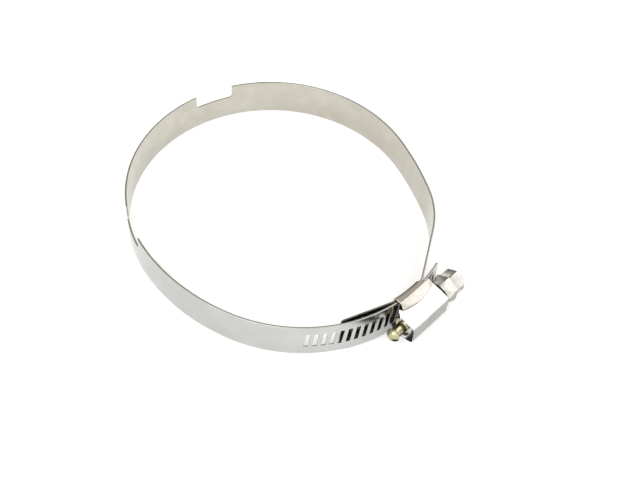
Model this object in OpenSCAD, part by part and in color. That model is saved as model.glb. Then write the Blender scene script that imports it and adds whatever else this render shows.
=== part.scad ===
// Worm-drive hose clamp, lying flat with the hose axis upright.
// Origin: centre of the clamped bore at the middle of the band's width.
// +Z runs along the hose, the screw runs along X and its housing sits on the -Y side.
// All lengths are millimetres and all angles are degrees.

/* [Band] */
// Width of the band
band_w = 13.2; // [13:0.1:13.4]
// Thickness of the band
band_t = 0.6; // [0.5:0.05:0.65]
// Distance from one slot to the next along the band
slot_pitch = 2.54; // [2.4:0.02:2.7]
// Number of slots
slot_count = 19; // [12:1:20]
// Width of one slot, along the band
slot_w = 1.3; // [1.25:0.05:1.4]
// Length of one slot, across the band
slot_len = 6.4; // [5.5:0.1:7]
// Direction of the middle of the first slot, seen from the slide centre
first_slot_angle = 226.7; // [224:0.1:228]
// Direction of the free tip of the slotted end
tail_angle = 285.2; // [284:0.1:287]

/* [Loop outline] */
// Radius of the clamped bore
bore_r = 46; // [45.8:0.05:46.2]
// Centre that the slotted end turns about as it slides through the housing, in X
slide_centre_x = 1.6; // [1.5:0.05:1.7]
// The same centre in Y
slide_centre_y = -9.5; // [-9.6:0.05:-9.4]
// Radius of the middle of the slotted end about that centre
slide_r = 47.6; // [47.5:0.1:47.7]
// Radius of the loop's left flank
left_flank_r = 64; // [62:1:70]
// Direction where the right flank leaves the bore circle
right_flank_from = -20; // [-24:1:-18]
// Direction where the right flank meets the shoulder
right_flank_to = -31; // [-32:0.5:-30.5]
// Radius of the right flank
right_flank_r = 110; // [100:1:120]
// Radius of the right shoulder
shoulder_r = 33.2; // [32:0.2:34]
// Outward direction of the straight run that enters the saddle
straight_angle = -60; // [-62:0.5:-59]
// Radius of the sharp bends at the saddle's two ends
neck_r = 3.5; // [3:0.25:4]
// Outward direction of the straight inner tongue
tongue_angle = -111.5; // [-113:0.5:-110]
// Length of the straight inner tongue
tongue_len = 17; // [10:0.5:17]

/* [Notches] */
// Direction of the middle of the right-hand notch in the upper edge
right_notch_angle = 70.6; // [66:0.2:75]
// Direction of the middle of the left-hand notch in the upper edge
left_notch_angle = 153.7; // [149:0.2:158]
// Length of a notch along the band
notch_len = 13; // [8:0.5:16]
// Depth of a notch
notch_depth = 4.9; // [3:0.1:6]
// Radius of the corners at the floor of a notch
notch_corner_r = 1.3; // [0.8:0.1:2]

/* [Saddle] */
// Left end of the saddle
saddle_left = -6; // [-6.2:0.1:-5.8]
// Right end of the strap that passes under the band
strap_right = 3.9; // [3.8:0.1:4.2]
// Right end of the folded ears
ear_right = 7.7; // [7.2:0.1:7.9]
// Sheet thickness of the saddle
saddle_t = 0.5; // [0.45:0.05:0.55]
// Half width of the tunnel through the saddle
tunnel_half_w = 7; // [6.9:0.05:7.1]
// Radius on the saddle's lower outer edges
saddle_edge_r = 1.2; // [1:0.05:1.3]
// Height of the folds, measured from the screw axis
fold_height = -2.75; // [-2.85:0.05:-2.65]
// Half width across the free edges of the ears
ear_half_w = 5.35; // [5.3:0.05:5.6]
// Height of the middle of those edges, measured from the screw axis
ear_height = -0.5; // [-0.6:0.05:-0.4]
// Radius of the bow in those edges
ear_bow_r = 18; // [17:0.5:22]

/* [Housing] */
// Left end of the housing
housing_left = -8.1; // [-8.3:0.1:-8]
// Right end of the housing
housing_right = 8.1; // [8:0.1:8.2]
// Sheet thickness of the housing
housing_t = 0.6; // [0.5:0.05:0.62]
// Distance from the screw axis to the outside of the crown
crown_reach = 4.55; // [4.55:0.05:4.8]
// Half width across the crown, where its faces would meet as sharp edges
crown_half_w = 3.55; // [3.5:0.05:3.7]
// Half width of the housing at the band
foot_half_w = 5.35; // [5.35:0.05:5.5]
// Radius on the long edges of the crown
crown_edge_r = 0.9; // [0.7:0.1:1.2]
// Half width across the two flanges that the saddle holds down
flange_half_w = 6.5; // [6:0.1:6.6]
// Half length of those flanges
flange_half_len = 4.6; // [4:0.2:5]
// Radius of the opening around the tip of the screw
tip_hole_r = 2.9; // [2.8:0.05:3.1]
// Length cut off the foot of the side walls at the tip end
foot_cut_len = 1.9; // [1:0.1:1.9]
// Height, from the screw axis, at which that cut starts on the end wall
foot_cut_top = -1; // [-1.5:0.1:-0.8]

/* [Screw] */
// Distance from the outside of the band to the screw axis
screw_lift = 3.45; // [3.42:0.01:3.5]
// Outer radius of the thread
thread_r = 3.8; // [3.75:0.01:3.82]
// Radius of the screw between the threads
core_r = 3.05; // [2.9:0.05:3.1]
// Radius of the round end at the tip
tip_r = 2.2; // [2:0.05:2.3]
// Radius of the neck between the tip and the thread
tip_neck_r = 1.7; // [1.5:0.05:1.8]
// Distance across the flats of the head
hex_af = 7.94; // [7.5:0.01:8.2]
// Distance across the flats of the smaller nose on the head
nose_af = 7.1; // [6.5:0.1:7.2]
// Radius of the plain journal that turns in the housing
journal_r = 3.6; // [3.5:0.05:3.6]
// Radius of the washer face behind the head
collar_r = 3.8; // [3.7:0.05:3.85]
// Width of the screwdriver slot
driver_slot_w = 1.1; // [0.8:0.1:1.4]
// Depth of the screwdriver slot
driver_slot_depth = 1.8; // [1:0.1:2.2]

/* [Hidden] */
$fn = 120;

// Small gaps between pieces and between features
link_gap = 0.06;        // between two neighbouring lengths of band
layer_gap = 0.07;       // between layers of band inside the saddle
closing_gap = 0.35;     // between the last link and the fixed end, inside the saddle
bore_clearance = 0.08;  // around the screw where it runs in the housing
thread_end_gap = 0.15;  // between the thread and the tip-end wall
collar_gap = 1;         // between the housing and the washer face
foot_gap = 0.09;        // between the housing's feet and the band
thread_to_journal = 0.1; // between the thread and the journal

// How far a cutting shape reaches past the face it cuts
cut_margin = 1;

// Directions and lengths
function unit(a) = [cos(a), sin(a)];
function turn_len(r, a) = r * a * PI / 180;
function turn_angle(r, len) = len / r * 180 / PI;

// The loop's outline is a list of elements [centre or start, radius, from, to, length].
// An arc runs from one outward direction down to another; a straight has radius 0.
function arc(c, r, from, to) = [c, r, from, to, turn_len(r, from - to)];
function straight(p, a, len) = [p, 0, a, a, len];

// Slotted end and left flank: the flank's centre is where two circles cross.
slide_centre = [slide_centre_x, slide_centre_y];
back_r = bore_r + band_t / 2;
flank_to_bore = left_flank_r - back_r;
flank_to_slide = left_flank_r - slide_r;
centre_gap = norm(slide_centre);
flank_along = (flank_to_bore ^ 2 - flank_to_slide ^ 2 + centre_gap ^ 2) / (2 * centre_gap);
flank_across = sqrt(flank_to_bore ^ 2 - flank_along ^ 2);
slide_dir = slide_centre / centre_gap;
left_flank_c = slide_dir * flank_along + [-slide_dir[1], slide_dir[0]] * flank_across;
to_slide = slide_centre - left_flank_c;
left_flank_from = 360 + atan2(to_slide[1], to_slide[0]);
left_flank_to = atan2(-left_flank_c[1], -left_flank_c[0]);

// Right flank, shoulder and the straight run into the saddle
right_flank_c = (back_r - right_flank_r) * unit(right_flank_from);
shoulder_c = right_flank_c + (right_flank_r - shoulder_r) * unit(right_flank_to);
straight_dir = unit(straight_angle);
run_dir = [sin(straight_angle), -cos(straight_angle)];
run_start = shoulder_c + shoulder_r * straight_dir;

// Neck: tangent to the straight run and to the fixed end inside the saddle
fixed_r = slide_r - band_t - layer_gap;
neck_drop = (run_start - slide_centre) * straight_dir - neck_r;
neck_side = sqrt((fixed_r - neck_r) ^ 2 - neck_drop ^ 2);
neck_c = slide_centre + straight_dir * neck_drop + run_dir * neck_side;
neck_to = atan2(neck_c[1] - slide_centre[1], neck_c[0] - slide_centre[0]);
run_len = (neck_c - run_start) * run_dir;

// Tongue: it bends away from the slotted end as it leaves the saddle
kink_from = -90 - asin((slide_centre[0] - saddle_left) / fixed_r);
kink_c = slide_centre + (fixed_r - neck_r) * unit(kink_from);
tongue_start = kink_c + neck_r * unit(tongue_angle);

OUTLINE = [
    arc(slide_centre, slide_r, tail_angle, left_flank_from),
    arc(left_flank_c, left_flank_r, left_flank_from, left_flank_to),
    arc([0, 0], back_r, left_flank_to, right_flank_from),
    arc(right_flank_c, right_flank_r, right_flank_from, right_flank_to),
    arc(shoulder_c, shoulder_r, right_flank_to, straight_angle),
    straight(run_start, straight_angle, run_len),
    arc(neck_c, neck_r, straight_angle, neck_to),
    arc(slide_centre, fixed_r, neck_to, kink_from),
    arc(kink_c, neck_r, kink_from, tongue_angle),
    straight(tongue_start, tongue_angle, tongue_len)
];

// Elements that others are measured from: the neck, and the arc held in the saddle
neck_element = 6;
held_element = 7;

// Distance along the band, from the tail's tip to the start of element i
function distance_to(i) = i == 0 ? 0 : distance_to(i - 1) + OUTLINE[i - 1][4];

// Where the band is divided: the slotted end, then equal links, then the fixed end
slotted_end_angle = 219;
link_count = 11;
closing_x = 2.6;
closing_angle = -90 + asin((closing_x - slide_centre[0]) / fixed_r);
slotted_len = turn_len(slide_r, tail_angle - slotted_end_angle);
closing_at = distance_to(held_element) + turn_len(fixed_r, neck_to - closing_angle);
band_len = distance_to(len(OUTLINE));
link_len = (distance_to(neck_element) - slotted_len) / link_count;

function link_start(k) = slotted_len + (k - 1) * link_len;

// Facets of the wide arcs
wide_facets = 240;

// One element of the outline as a strip of band, from s0 to s1 along that element
module strip_of(e, s0, s1) {
    if (e[1] == 0)
        translate([e[0][0], e[0][1], -band_w / 2])
            rotate(e[2])
                translate([-band_t / 2, -s1, 0])
                    cube([band_t, s1 - s0, band_w]);
    else
        translate([e[0][0], e[0][1], 0])
            rotate_extrude(
                start = e[2] - turn_angle(e[1], s1),
                angle = turn_angle(e[1], s1 - s0),
                $fn = wide_facets
            )
                translate([e[1] - band_t / 2, -band_w / 2])
                    square([band_t, band_w]);
}

// The band between two distances along it; its elements run slightly into each other
seam_overlap = 0.02;

module strip(s0, s1) {
    for (i = [0:len(OUTLINE) - 1]) {
        start = distance_to(i);
        from = max(s0 - start, -seam_overlap);
        to = min(s1 - start, OUTLINE[i][4] + seam_overlap);
        if (to - from > 2 * seam_overlap)
            strip_of(OUTLINE[i], from, to);
    }
}

// The same for the ends of the band, whose small bends are followed in short steps
bend_step = 3;
shortest_piece = 0.01;

// Middle of the band at a distance along one element, and its two faces
function point_in(e, s) =
    e[1] == 0 ? e[0] + s * [sin(e[2]), -cos(e[2])] : e[0] + e[1] * unit(e[2] - turn_angle(e[1], s));
function side_of(e, s, side) =
    point_in(e, s) + side * band_t / 2 * unit(e[1] == 0 ? e[2] : e[2] - turn_angle(e[1], s));
function stretch_points(e, s0, s1, side) =
    let (steps = e[1] == 0 ? 1 : ceil(turn_angle(e[1], s1 - s0) / bend_step))
        [for (i = [0:steps]) side_of(e, s0 + (s1 - s0) * i / steps, side)];

module bent_strip(s0, s1) {
    parts = [
        for (i = [0:len(OUTLINE) - 1])
            let (from = max(s0 - distance_to(i), 0), to = min(s1 - distance_to(i), OUTLINE[i][4]))
                if (to - from > shortest_piece) [i, from, to]
    ];
    outside = [
        for (k = [0:len(parts) - 1])
            let (q = stretch_points(OUTLINE[parts[k][0]], parts[k][1], parts[k][2], 1))
                for (j = [k == 0 ? 0 : 1:len(q) - 1]) q[j]
    ];
    inside = [
        for (k = [0:len(parts) - 1])
            let (q = stretch_points(OUTLINE[parts[k][0]], parts[k][1], parts[k][2], -1))
                for (j = [k == 0 ? 0 : 1:len(q) - 1]) q[j]
    ];
    translate([0, 0, -band_w / 2])
        linear_extrude(band_w)
            polygon(concat(outside, [for (j = [len(inside) - 1:-1:0]) inside[j]]));
}

// A square-sided cut with a rounded floor, open upwards, lying across the band
module notch_cutter(a) {
    floor_z = band_w / 2 - notch_depth;
    depth = 6;
    rotate(a)
        translate([back_r - depth / 2, 0, 0])
            rotate([90, 0, 90])
                linear_extrude(depth) {
                    translate([-notch_len / 2, floor_z + notch_corner_r])
                        square([notch_len, band_w]);
                    translate([-notch_len / 2 + notch_corner_r, floor_z])
                        square([notch_len - 2 * notch_corner_r, band_w]);
                    for (side = [-1, 1])
                        translate([side * (notch_len / 2 - notch_corner_r), floor_z + notch_corner_r])
                            circle(notch_corner_r, $fn = 24);
                }
}

// The slots lean with the thread; each is a rounded bar pushed through the band
slot_lean = atan(slot_pitch / (2 * PI * (screw_lift + thread_r) / 2));
slot_corner_r = 0.3;

module slot_cutter(a) {
    depth = 4;
    corner_x = slot_w / 2 - slot_corner_r;
    corner_y = slot_len / 2 - slot_corner_r;
    translate([slide_centre[0], slide_centre[1], 0])
        rotate(a)
            translate([slide_r - depth / 2, 0, 0])
                rotate([90, 0, 90])
                    linear_extrude(depth)
                        rotate(-slot_lean) {
                            square([slot_w, slot_len - 2 * slot_corner_r], center = true);
                            square([slot_w - 2 * slot_corner_r, slot_len], center = true);
                            for (x = [-1, 1], y = [-1, 1])
                                translate([x * corner_x, y * corner_y])
                                    circle(slot_corner_r, $fn = 16);
                        }
}

module band_slotted_end() {
    color("gainsboro")
        difference() {
            strip(0, slotted_len - link_gap / 2);
            for (i = [0:slot_count - 1])
                slot_cutter(first_slot_angle + i * turn_angle(slide_r, slot_pitch));
        }
}

module band_link(k) {
    color("gainsboro")
        difference() {
            strip(link_start(k) + link_gap / 2, link_start(k + 1) - link_gap / 2);
            notch_cutter(right_notch_angle);
            notch_cutter(left_notch_angle);
        }
}

module band_last_link() {
    color("gainsboro")
        bent_strip(link_start(link_count) + link_gap / 2, closing_at - closing_gap);
}

module band_fixed_end() {
    color("gainsboro")
        bent_strip(closing_at, band_len);
}

// Screw axis and the surfaces that follow the band inside the saddle
screw_y = slide_centre[1] - slide_r - band_t / 2 - screw_lift;
saddle_outer_r = fixed_r - band_t / 2 - layer_gap;
saddle_inner_r = saddle_outer_r - saddle_t;
far = 30;               // beyond everything in the saddle and housing

// Half width of the housing at a height above the screw axis, away from the hose
side_slope = (foot_half_w - crown_half_w) / (crown_reach + screw_lift);
function side_half_w(h) = crown_half_w + side_slope * (crown_reach - h);

// A shape drawn as [across the band, height above the screw axis], pushed along X
module along_screw(x0, x1) {
    translate([x0, screw_y, 0])
        rotate([90, 0, 90])
            linear_extrude(x1 - x0)
                rotate(90)
                    children();
}

// Channel that follows the band: [radius about the slide centre, z], rounded inner corners
module channel(r, half_w, corner) {
    half_sweep = 20;
    translate([slide_centre[0], slide_centre[1], 0])
        rotate_extrude(start = -90 - half_sweep, angle = 2 * half_sweep, $fn = wide_facets) {
            translate([r + corner, -half_w])
                square([far, 2 * half_w]);
            translate([r, -half_w + corner])
                square([far, 2 * (half_w - corner)]);
            for (side = [-1, 1])
                translate([r + corner, side * (half_w - corner)])
                    circle(corner, $fn = 48);
        }
}

// One side of the saddle above the band, cut across X: [z, height above the screw axis].
// The sheet stands up, folds over and ends in a bowed edge that rests beside the housing.
fold_steps = 6;
fold_r = 0.7;
ear_steps = 24;
ear_root = -3.45;        // height at which the ears meet the walls
ear_root_lap = 0.1;      // how far ears and walls run into each other there
ear_sheet = saddle_t - 0.02; // a little thinner than the walls, so no faces coincide
wall_z = tunnel_half_w + saddle_t / 2;
ear_centre_x = (saddle_left + ear_right) / 2;
function edge_height(x) = ear_height - (x - ear_centre_x) ^ 2 / (2 * ear_bow_r);
function ear_section(x) = let (
    edge = [ear_half_w, edge_height(x)],
    lean = atan2(wall_z - edge[0], edge[1] - fold_height),
    fold_c = [wall_z - fold_r, fold_height - fold_r * tan(lean / 2)],
    out_r = fold_r + ear_sheet / 2,
    in_r = fold_r - ear_sheet / 2
) concat(
    [[wall_z + ear_sheet / 2, ear_root]],
    [for (i = [0:fold_steps]) fold_c + out_r * unit(lean * i / fold_steps)],
    [edge, edge - ear_sheet * unit(lean)],
    [for (i = [fold_steps:-1:0]) fold_c + in_r * unit(lean * i / fold_steps)],
    [[wall_z - ear_sheet / 2, ear_root]]
);

// Loft through sections taken at even steps along X
module ear(x0, x1) {
    sections = [for (i = [0:ear_steps]) ear_section(x0 + (x1 - x0) * i / ear_steps)];
    n = len(sections[0]);
    points = [
        for (i = [0:ear_steps], q = sections[i])
            [x0 + (x1 - x0) * i / ear_steps, screw_y - q[1], q[0]]
    ];
    sides = [
        for (i = [0:ear_steps - 1], j = [0:n - 1]) let (
            k = (j + 1) % n,
            a = i * n + j,
            b = i * n + k,
            c = a + n,
            d = b + n
        ) each [[a, d, b], [a, c, d]]
    ];
    ends = [[for (j = [0:n - 1]) j], [for (j = [n - 1:-1:0]) ear_steps * n + j]];
    polyhedron(points, concat(sides, ends));
}

module saddle() {
    tunnel_corner_r = 0.35;
    wall_top = screw_y - ear_root - ear_root_lap;
    slant_drop = 0.4;
    ear_foot = slide_centre[1] - saddle_outer_r - slant_drop;
    slant_end = screw_y - edge_height(ear_right);
    color("silver")
        intersection() {
            union() {
                difference() {
                    channel(saddle_inner_r, tunnel_half_w + saddle_t, saddle_edge_r);
                    channel(saddle_outer_r, tunnel_half_w, tunnel_corner_r);
                    translate([-far, wall_top - 2 * far, -far])
                        cube(2 * far);
                }
                for (side = [0, 1])
                    mirror([0, 0, side])
                        ear(saddle_left - cut_margin, ear_right + cut_margin);
            }
            translate([0, 0, -far / 2])
                linear_extrude(far)
                    polygon([
                        [saddle_left, ear_foot + far],
                        [saddle_left, slant_end - far],
                        [ear_right, slant_end - far],
                        [ear_right, slant_end],
                        [strap_right, ear_foot],
                        [strap_right, ear_foot + far]
                    ]);
        }
}

// Points along a rounded corner
corner_steps = 8;
function corner_points(c, r, from, to) =
    [for (i = [0:corner_steps]) c + r * unit(from + (to - from) * i / corner_steps)];

// Housing outline across the band, with the crown's long edges rounded
module crown_outline(grow) {
    lean = atan(side_slope);
    r = crown_edge_r + grow;
    top = crown_reach + grow;
    corner_w = crown_half_w + grow * (1 / cos(lean) - tan(lean)) - r * tan(45 - lean / 2);
    low = -screw_lift - 2 * cut_margin;
    low_w = side_half_w(low) + grow / cos(lean);
    polygon(concat(
        [[-low_w, low], [low_w, low]],
        corner_points([corner_w, top - r], r, lean, 90),
        corner_points([-corner_w, top - r], r, 90, 180 - lean)
    ));
}

module screw_bar(x0, x1, r, sides = 72) {
    translate([x0, screw_y, 0])
        rotate([0, 90, 0])
            cylinder(r = r, h = x1 - x0, $fn = sides);
}

// Slanting cut across both side walls, from the end wall down to the band
module foot_corner_cut() {
    past_foot = 0.2;
    slope = (screw_lift + foot_cut_top + past_foot) / foot_cut_len;
    top = screw_y - foot_cut_top;
    translate([0, 0, -far / 2])
        linear_extrude(far)
            polygon([
                [housing_left - cut_margin, top - slope * cut_margin],
                [housing_left + foot_cut_len, top + slope * foot_cut_len],
                [housing_left - cut_margin, top + slope * foot_cut_len]
            ]);
}

module housing() {
    x0 = housing_left;
    x1 = housing_right;
    flange_top = -screw_lift + foot_gap + housing_t;
    flange_stock = 3;
    color("whitesmoke")
        difference() {
            union() {
                along_screw(x0, x1)
                    crown_outline(0);
                along_screw(-flange_half_len, flange_half_len)
                    translate([-flange_half_w, flange_top - flange_stock])
                        square([2 * flange_half_w, flange_stock]);
            }
            along_screw(x0 + housing_t, x1 - housing_t)
                crown_outline(-housing_t);
            screw_bar(x0 - cut_margin, x0 + housing_t + cut_margin, tip_hole_r);
            foot_corner_cut();
            screw_bar(x1 - housing_t - cut_margin, x1 + cut_margin, journal_r + bore_clearance);
            translate([slide_centre[0], slide_centre[1], -far / 2])
                cylinder(r = slide_r + band_t / 2 + foot_gap, h = far, $fn = wide_facets);
        }
}

// Thread: one ridge swept along a helix; its ends sink into the core
thread_crest_w = 0.5;
thread_root_w = 1.15;
thread_steps = 24;
thread_sink = 0.15;
thread_fade_steps = 5;
thread_from = housing_left + housing_t + thread_end_gap;
journal_from = housing_right - 2 * housing_t;
thread_to = journal_from - thread_to_journal;
thread_turns = (thread_to - thread_from - thread_root_w) / slot_pitch;

// The ridge has to stand in the slots: x of the slot nearest the housing's middle
mid_slot = round((270 - first_slot_angle) / turn_angle(slide_r, slot_pitch));
mid_slot_angle = first_slot_angle + mid_slot * turn_angle(slide_r, slot_pitch);
mid_slot_x = slide_centre[0] + slide_r * cos(mid_slot_angle);

module thread_ridge() {
    first_x = thread_from + thread_root_w / 2;
    // turned so that the ridge passes mid_slot_x on the side that faces the band
    phase = 90 - (mid_slot_x - first_x) / slot_pitch * 360;
    count = ceil(thread_turns * thread_steps);
    end_r = core_r - thread_sink / 2;
    function crest(i) = end_r + (thread_r - end_r) * min(1, min(i, count - i) / thread_fade_steps);
    function ring(i) = let (
        a = phase + i * 360 / thread_steps,
        x = first_x + i * slot_pitch / thread_steps,
        in_r = core_r - thread_sink,
        out_r = crest(i)
    ) [
        [in_r * cos(a), in_r * sin(a), x - thread_root_w / 2],
        [out_r * cos(a), out_r * sin(a), x - thread_crest_w / 2],
        [out_r * cos(a), out_r * sin(a), x + thread_crest_w / 2],
        [in_r * cos(a), in_r * sin(a), x + thread_root_w / 2]
    ];
    points = [for (i = [0:count]) each ring(i)];
    sides = [
        for (i = [0:count - 1], j = [0:3]) let (
            k = (j + 1) % 4,
            a = i * 4 + j,
            b = i * 4 + k,
            c = a + 4,
            d = b + 4
        ) each [[a, b, d], [a, d, c]]
    ];
    ends = [[3, 2, 1, 0], [for (j = [0:3]) count * 4 + j]];
    translate([0, screw_y, 0])
        rotate([0, 90, 0])
            polyhedron(points, concat(sides, ends));
}

// Lengths along the screw, from its domed tip to the nose on its head
tip_x = -13.4;
tip_dome_len = 1.5;
tip_rim_len = 0.8;
collar_len = 0.3;
hex_len = 4.1;
hex_bevel_len = 3.2;
bevel_lap = 0.1;
nose_len = 4.1;
nose_chamfer = 0.5;
nose_taper = 1.4;
rim_from = tip_x + tip_dome_len;
neck_from = rim_from + tip_rim_len;
collar_from = housing_right + collar_gap;
hex_from = collar_from + collar_len;
nose_from = hex_from + hex_len;
nose_to = nose_from + nose_len;

module worm_screw() {
    dome_r = (tip_r ^ 2 + tip_dome_len ^ 2) / (2 * tip_dome_len);
    hex_r = hex_af / 2 / cos(30);
    nose_r = nose_af / 2 / cos(30);
    color("khaki")
        difference() {
            union() {
                intersection() {
                    screw_bar(tip_x, rim_from, tip_r);
                    translate([tip_x + dome_r, screw_y, 0])
                        sphere(dome_r);
                }
                screw_bar(rim_from, neck_from, tip_r);
                screw_bar(neck_from, thread_from, tip_neck_r);
                screw_bar(thread_from, journal_from, core_r);
                screw_bar(journal_from, collar_from, journal_r);
                screw_bar(collar_from, hex_from, collar_r);
                intersection() {
                    screw_bar(hex_from, nose_from, hex_r, 6);
                    translate([hex_from, screw_y, 0])
                        rotate([0, 90, 0]) {
                            cylinder(
                                r1 = hex_af / 2 - bevel_lap,
                                r2 = hex_r + bevel_lap,
                                h = hex_bevel_len
                            );
                            translate([0, 0, hex_bevel_len])
                                cylinder(r = hex_r + bevel_lap, h = hex_len);
                        }
                }
                screw_bar(nose_from, nose_to - nose_chamfer, nose_r, 6);
                intersection() {
                    screw_bar(nose_to - nose_chamfer, nose_to, nose_r, 6);
                    translate([nose_to - nose_chamfer, screw_y, 0])
                        rotate([0, 90, 0])
                            cylinder(
                                r1 = nose_r,
                                r2 = nose_r - nose_taper * nose_chamfer,
                                h = nose_chamfer
                            );
                }
                thread_ridge();
            }
            translate([nose_to - driver_slot_depth, screw_y - far / 2, -driver_slot_w / 2])
                cube([driver_slot_depth + cut_margin, far, driver_slot_w]);
        }
}

band_slotted_end();
band_link(1);  // band_link_01
band_link(2);  // band_link_02
band_link(3);  // band_link_03
band_link(4);  // band_link_04
band_link(5);  // band_link_05
band_link(6);  // band_link_06
band_link(7);  // band_link_07
band_link(8);  // band_link_08
band_link(9);  // band_link_09
band_link(10);  // band_link_10
band_last_link();  // band_link_11
band_fixed_end();
saddle();
housing();
worm_screw();
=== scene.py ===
import math

import bmesh
import bpy
from mathutils import Matrix, Vector


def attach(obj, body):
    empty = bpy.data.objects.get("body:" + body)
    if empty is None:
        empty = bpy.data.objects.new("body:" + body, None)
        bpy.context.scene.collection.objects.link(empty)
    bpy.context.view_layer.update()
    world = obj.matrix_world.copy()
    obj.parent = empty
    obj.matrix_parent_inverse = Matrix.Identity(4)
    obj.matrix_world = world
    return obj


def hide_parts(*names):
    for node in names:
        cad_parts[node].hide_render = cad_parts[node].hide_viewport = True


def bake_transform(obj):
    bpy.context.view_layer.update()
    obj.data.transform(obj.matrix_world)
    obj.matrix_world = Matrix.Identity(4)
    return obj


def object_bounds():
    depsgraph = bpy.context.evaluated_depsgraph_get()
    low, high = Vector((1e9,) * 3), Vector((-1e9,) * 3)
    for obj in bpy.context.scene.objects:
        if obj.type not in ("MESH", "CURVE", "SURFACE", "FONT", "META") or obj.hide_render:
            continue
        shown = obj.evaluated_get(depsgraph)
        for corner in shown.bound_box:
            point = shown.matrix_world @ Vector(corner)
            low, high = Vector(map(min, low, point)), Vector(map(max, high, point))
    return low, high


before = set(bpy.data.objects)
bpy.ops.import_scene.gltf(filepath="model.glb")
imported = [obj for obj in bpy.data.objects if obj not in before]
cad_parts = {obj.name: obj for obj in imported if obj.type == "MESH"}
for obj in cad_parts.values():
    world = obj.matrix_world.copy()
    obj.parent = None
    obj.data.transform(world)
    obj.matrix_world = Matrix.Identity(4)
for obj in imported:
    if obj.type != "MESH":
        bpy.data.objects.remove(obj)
cad_box = [list(corner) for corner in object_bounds()]

MM = 0.001

# ---------------------------------------------------------------- sizes, in millimetres
# The band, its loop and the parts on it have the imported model's sizes.

BAND_W = 13.2
BAND_T = 0.6
BAND_EDGE_R = 0.1          # rounding on the strip's sheared edges
LAYER_GAP = 0.07
CLOSING_GAP = 0.35

BORE_R = 46.0
SLIDE_C = Vector((1.6, -9.5))
SLIDE_R = 47.6
LEFT_FLANK_R = 64.0
RIGHT_FLANK_FROM = -20.0
RIGHT_FLANK_TO = -31.0
RIGHT_FLANK_R = 110.0
SHOULDER_R = 33.2
STRAIGHT_ANGLE = -60.0
NECK_R = 3.5
TONGUE_ANGLE = -111.5
TONGUE_LEN = 17.0
TAIL_ANGLE = 285.2
SLOTTED_END_ANGLE = 219.0
CLOSING_X = 2.6
LINK_COUNT = 11

SLOT_PITCH = 2.54
SLOT_COUNT = 19
SLOT_W = 1.3
SLOT_LEN = 6.4
SLOT_CORNER_R = 0.3
FIRST_SLOT_ANGLE = 226.7

NOTCH_ANGLES = (70.6, 153.7)
NOTCH_LEN = 13.0
NOTCH_DEPTH = 4.9
NOTCH_CORNER_R = 1.3

SADDLE_LEFT = -6.0
STRAP_RIGHT = 3.9
EAR_RIGHT = 7.7
SADDLE_T = 0.5
TUNNEL_HALF_W = 7.0
FOLD_HEIGHT = -2.75
FOLD_R = 0.7
EAR_HALF_W = 5.35
EAR_HEIGHT = -0.5
EAR_BOW_R = 18.0
SLANT_DROP = 0.4           # the saddle's end starts to slant this far outside the strap
SHEET_EASE = 0.12          # bevel on the edges of pressed sheet

HOUSING_LEFT = -8.1
HOUSING_RIGHT = 8.1
HOUSING_T = 0.6
CROWN_REACH = 4.55
CROWN_HALF_W = 3.55
FOOT_HALF_W = 5.35
CROWN_EDGE_R = 0.9
FLANGE_HALF_W = 6.5
FLANGE_HALF_LEN = 4.6
TIP_HOLE_R = 2.9
FOOT_CUT_LEN = 1.9
FOOT_CUT_TOP = -1.0
FOOT_CUT_PAST = 0.2        # how far the slanting cut runs on past the foot
FOOT_GAP = 0.09

SCREW_LIFT = 3.45
THREAD_R = 3.8
THREAD_CREST_W = 0.5
THREAD_ROOT_W = 1.15
THREAD_SINK = 0.15         # how far the ridge's root lies inside the core
THREAD_END_GAP = 0.15
THREAD_TO_JOURNAL = 0.1
JOURNAL_R = 3.6
CORE_R = 3.05
TIP_R = 2.2
TIP_X = -13.4
TIP_DOME_LEN = 1.5
TIP_RIM_LEN = 0.8
TIP_NECK_R = 1.7
HEX_AF = 7.94
NOSE_AF = 7.1
COLLAR_R = 3.8
COLLAR_GAP = 1.0
COLLAR_LEN = 0.3
HEX_LEN = 4.1
HEX_BEVEL_LEN = 3.2
BEVEL_LAP = 0.1            # how far the bevel's cone runs past the hexagon
NOSE_LEN = 4.1
NOSE_CHAMFER = 0.5
DRIVER_SLOT_W = 1.1
DRIVER_SLOT_DEPTH = 1.8

SCREW_Y = SLIDE_C.y - SLIDE_R - BAND_T / 2 - SCREW_LIFT
CAD_LINKS = [f"band_link_{k:02d}" for k in range(1, LINK_COUNT + 1)]


# ---------------------------------------------------------------- the loop's outline

def unit(angle):
    """Direction in the XY plane, from degrees."""
    return Vector((math.cos(math.radians(angle)), math.sin(math.radians(angle))))


def turn_len(radius, angle):
    return radius * math.radians(angle)


class Arc:
    """A stretch of the band's middle line, from one outward direction down to another."""

    def __init__(self, centre, radius, start, end):
        self.centre, self.radius, self.start = centre, radius, start
        self.length = turn_len(radius, start - end)

    def at(self, s):
        normal = unit(self.start - math.degrees(s / self.radius))
        return self.centre + self.radius * normal, normal


class Straight:
    """A straight stretch with one outward direction."""

    def __init__(self, start, angle, length):
        self.start, self.normal, self.length = start, unit(angle), length
        self.along = Vector((self.normal.y, -self.normal.x))

    def at(self, s):
        return self.start + s * self.along, self.normal


def direction_of(v):
    return math.degrees(math.atan2(v.y, v.x))


NECK = 6                   # the neck's place in the outline


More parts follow.
